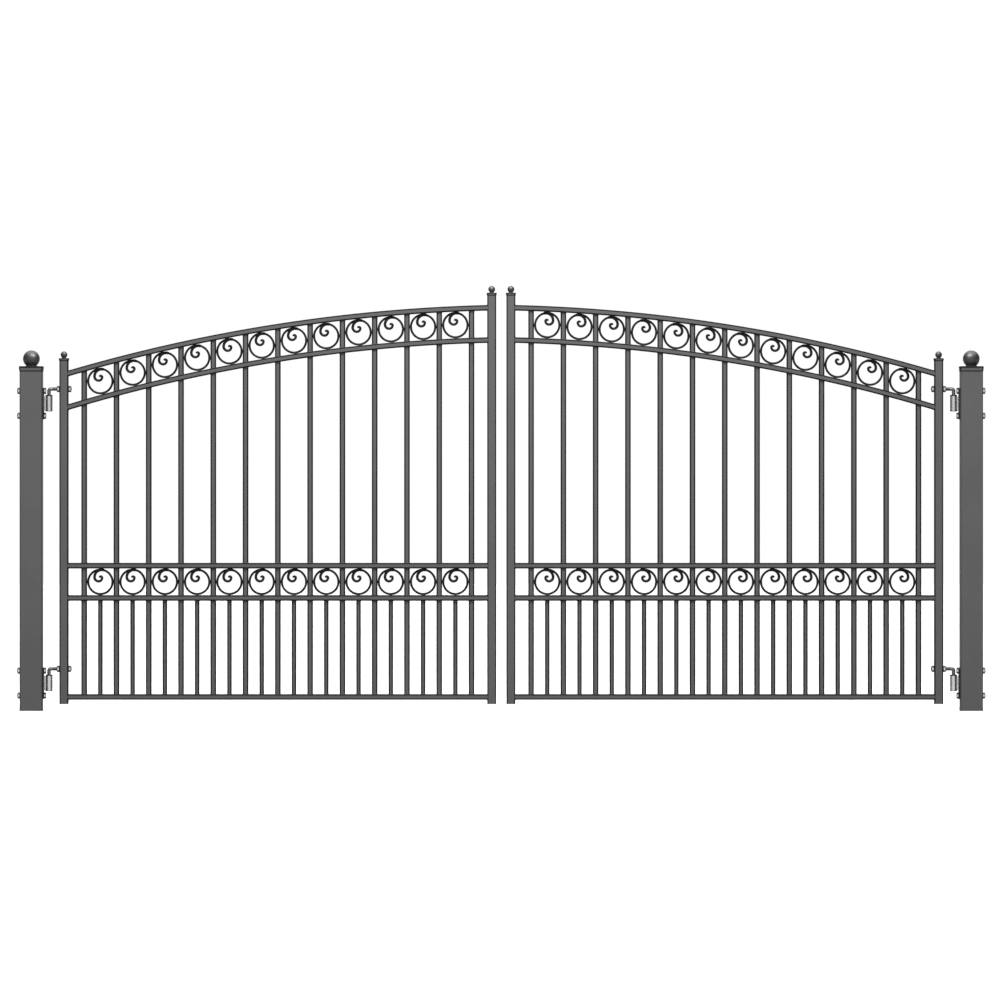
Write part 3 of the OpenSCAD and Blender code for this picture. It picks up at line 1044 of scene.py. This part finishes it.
def build_bolts(side, body, pin_x, to_gate):
    """Bolts through the post with their nuts, and the bent hinge bolts with theirs."""
    plate_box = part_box(f"{side}_hinge_plates")
    plate_face = plate_box[1].x if to_gate > 0 else plate_box[0].x
    bolts = Shape()
    for points in solids(f"{side}_post_bolts"):
        low, high = corners(points)
        head_outer = high.x if to_gate > 0 else low.x
        x0, x1 = sorted((plate_face, head_outer))
        head = (Vector((x0, low.y, low.z)), Vector((x1, high.y, high.z)))
        hexagon(bolts, head, nut_flats)
        post_bolt(bolts, (low, high), head, -to_gate)
    make(bolts, f"{side}_post_bolts_threaded", "posts", ZINC, [f"{side}_post_bolts"])
    for node, rides in ((f"{side}_post_nuts", "posts"), (f"{side}_hinge_nuts", body)):
        nuts = Shape()
        for points in solids(node):
            hexagon(nuts, corners(points), nut_flats, bolt_radius)
        make(nuts, f"{node}_turned", rides, ZINC, [node])
    bent = Shape()
    for points in solids(f"{side}_hinge_bolts"):
        bent_bolt(bent, corners(points), pin_x, to_gate)
    make(bent, f"{side}_hinge_bolts_threaded", body, STEEL, [f"{side}_hinge_bolts"])


# ---------------------------------------------------------------- floor, light and camera

def build_floor():
    """Plain pale floor that throws only a little light up at the gate."""
    size = FLOOR_REACH
    mid_x = middle(cad_box).x
    mesh = bpy.data.meshes.new("floor")
    corners_of_floor = [
        (mid_x - size, -size, 0), (mid_x + size, -size, 0),
        (mid_x + size, size, 0), (mid_x - size, size, 0),
    ]
    mesh.from_pydata(corners_of_floor, [], [(0, 1, 2, 3)])
    material, tree, shader = new_material("floor_paint", Roughness=0.9)
    ray = tree.nodes.new("ShaderNodeLightPath")
    paint = shades(tree, ray.outputs["Is Camera Ray"], FLOOR_BOUNCE, FLOOR_SEEN)
    tree.links.new(paint, shader.inputs["Base Color"])
    mesh.materials.append(material)
    floor = bpy.data.objects.new("floor", mesh)
    bpy.context.scene.collection.objects.link(floor)


def ramp(tree, value, start, end, low, high):
    """Smooth step from low to high while a value goes from start to end."""
    node = tree.nodes.new("ShaderNodeMapRange")
    node.interpolation_type = "SMOOTHSTEP"
    node.inputs["From Min"].default_value = start
    node.inputs["From Max"].default_value = end
    node.inputs["To Min"].default_value = low
    node.inputs["To Max"].default_value = high
    tree.links.new(value, node.inputs["Value"])
    return node.outputs["Result"]


def maths(tree, operation, *values):
    """Result of a maths node on one or two values."""
    node = tree.nodes.new("ShaderNodeMath")
    node.operation = operation
    for socket, value in zip(node.inputs, values):
        tree.links.new(value, socket)
    return node.outputs["Value"]


def build_sky():
    """White backdrop. What lights the gate is bright in front and above, and dim at the sides."""
    world = bpy.data.worlds.new("studio")
    bpy.context.scene.world = world
    world.use_nodes = True
    tree = world.node_tree
    tree.nodes.clear()
    place = tree.nodes.new("ShaderNodeTexCoord")
    parts = tree.nodes.new("ShaderNodeSeparateXYZ")
    tree.links.new(place.outputs["Generated"], parts.inputs["Vector"])
    side = maths(tree, "ABSOLUTE", parts.outputs["X"])
    across = ramp(tree, side, 0.35, 0.9, SKY_FRONT, SKY_SIDE)
    back = ramp(tree, parts.outputs["Y"], 0.1, 0.8, 1, SKY_BACK)
    level = maths(tree, "MULTIPLY", across, back)
    above = ramp(tree, parts.outputs["Z"], 0.55, 0.95, 0, SKY_ABOVE)
    lit = tree.nodes.new("ShaderNodeBackground")
    tree.links.new(maths(tree, "ADD", level, above), lit.inputs["Strength"])
    seen = tree.nodes.new("ShaderNodeBackground")
    seen.inputs["Color"].default_value = (1, 1, 1, 1)
    seen.inputs["Strength"].default_value = BACKDROP_SEEN
    ray = tree.nodes.new("ShaderNodeLightPath")
    mix = tree.nodes.new("ShaderNodeMixShader")
    tree.links.new(ray.outputs["Is Camera Ray"], mix.inputs["Fac"])
    tree.links.new(lit.outputs["Background"], mix.inputs[1])
    tree.links.new(seen.outputs["Background"], mix.inputs[2])
    out = tree.nodes.new("ShaderNodeOutputWorld")
    tree.links.new(mix.outputs["Shader"], out.inputs["Surface"])


def area_light(name, place, target, size, power):
    """Soft rectangular light."""
    light = bpy.data.lights.new(name, "AREA")
    light.shape = "RECTANGLE"
    light.size, light.size_y = size
    light.energy = power
    lamp = bpy.data.objects.new(name, light)
    lamp.location = place
    lamp.rotation_euler = (Vector(target) - Vector(place)).to_track_quat("-Z", "Y").to_euler()
    bpy.context.scene.collection.objects.link(lamp)


def build_camera():
    """Long lens square to the gate's front, so that it shows almost no perspective."""
    mid_x = middle(cad_box).x
    data = bpy.data.cameras.new("camera")
    data.lens = LENS
    data.sensor_width = SENSOR
    data.clip_end = 5 * CAMERA_FAR
    camera = bpy.data.objects.new("camera", data)
    camera.location = (mid_x - CAMERA_LEFT, -CAMERA_FAR, CAMERA_HIGH)
    camera.rotation_euler = (TURN / 4, 0, 0)
    bpy.context.scene.collection.objects.link(camera)
    bpy.context.scene.camera = camera


nut_box = corners(solids("left_hinge_nuts")[0])
nut_flats = nut_box[1].y - nut_box[0].y
bolt_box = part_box("left_hinge_bolts")
bolt_radius = (bolt_box[1].y - bolt_box[0].y) / 2

# Without a seed of its own, noise_vector starts from the clock and the hammer marks change each run
noise.seed_set(HAMMER_SEED)
for side in SIDES:
    leaf = f"{side}_leaf"
    build_post(side)
    build_stiles(side, leaf)
    build_rails(side, leaf)
    build_pickets(side, leaf)
    build_rings(side, leaf)
    build_hinges(side, leaf)

build_floor()
build_sky()
gate_mid = middle(cad_box)
key_place = (gate_mid.x, -KEY_FRONT, cad_box[1].z + KEY_ABOVE)
area_light("key_light", key_place, (gate_mid.x, 0, cad_box[1].z), KEY_SIZE, KEY_POWER)
build_camera()
bpy.context.scene.view_settings.view_transform = "Standard"
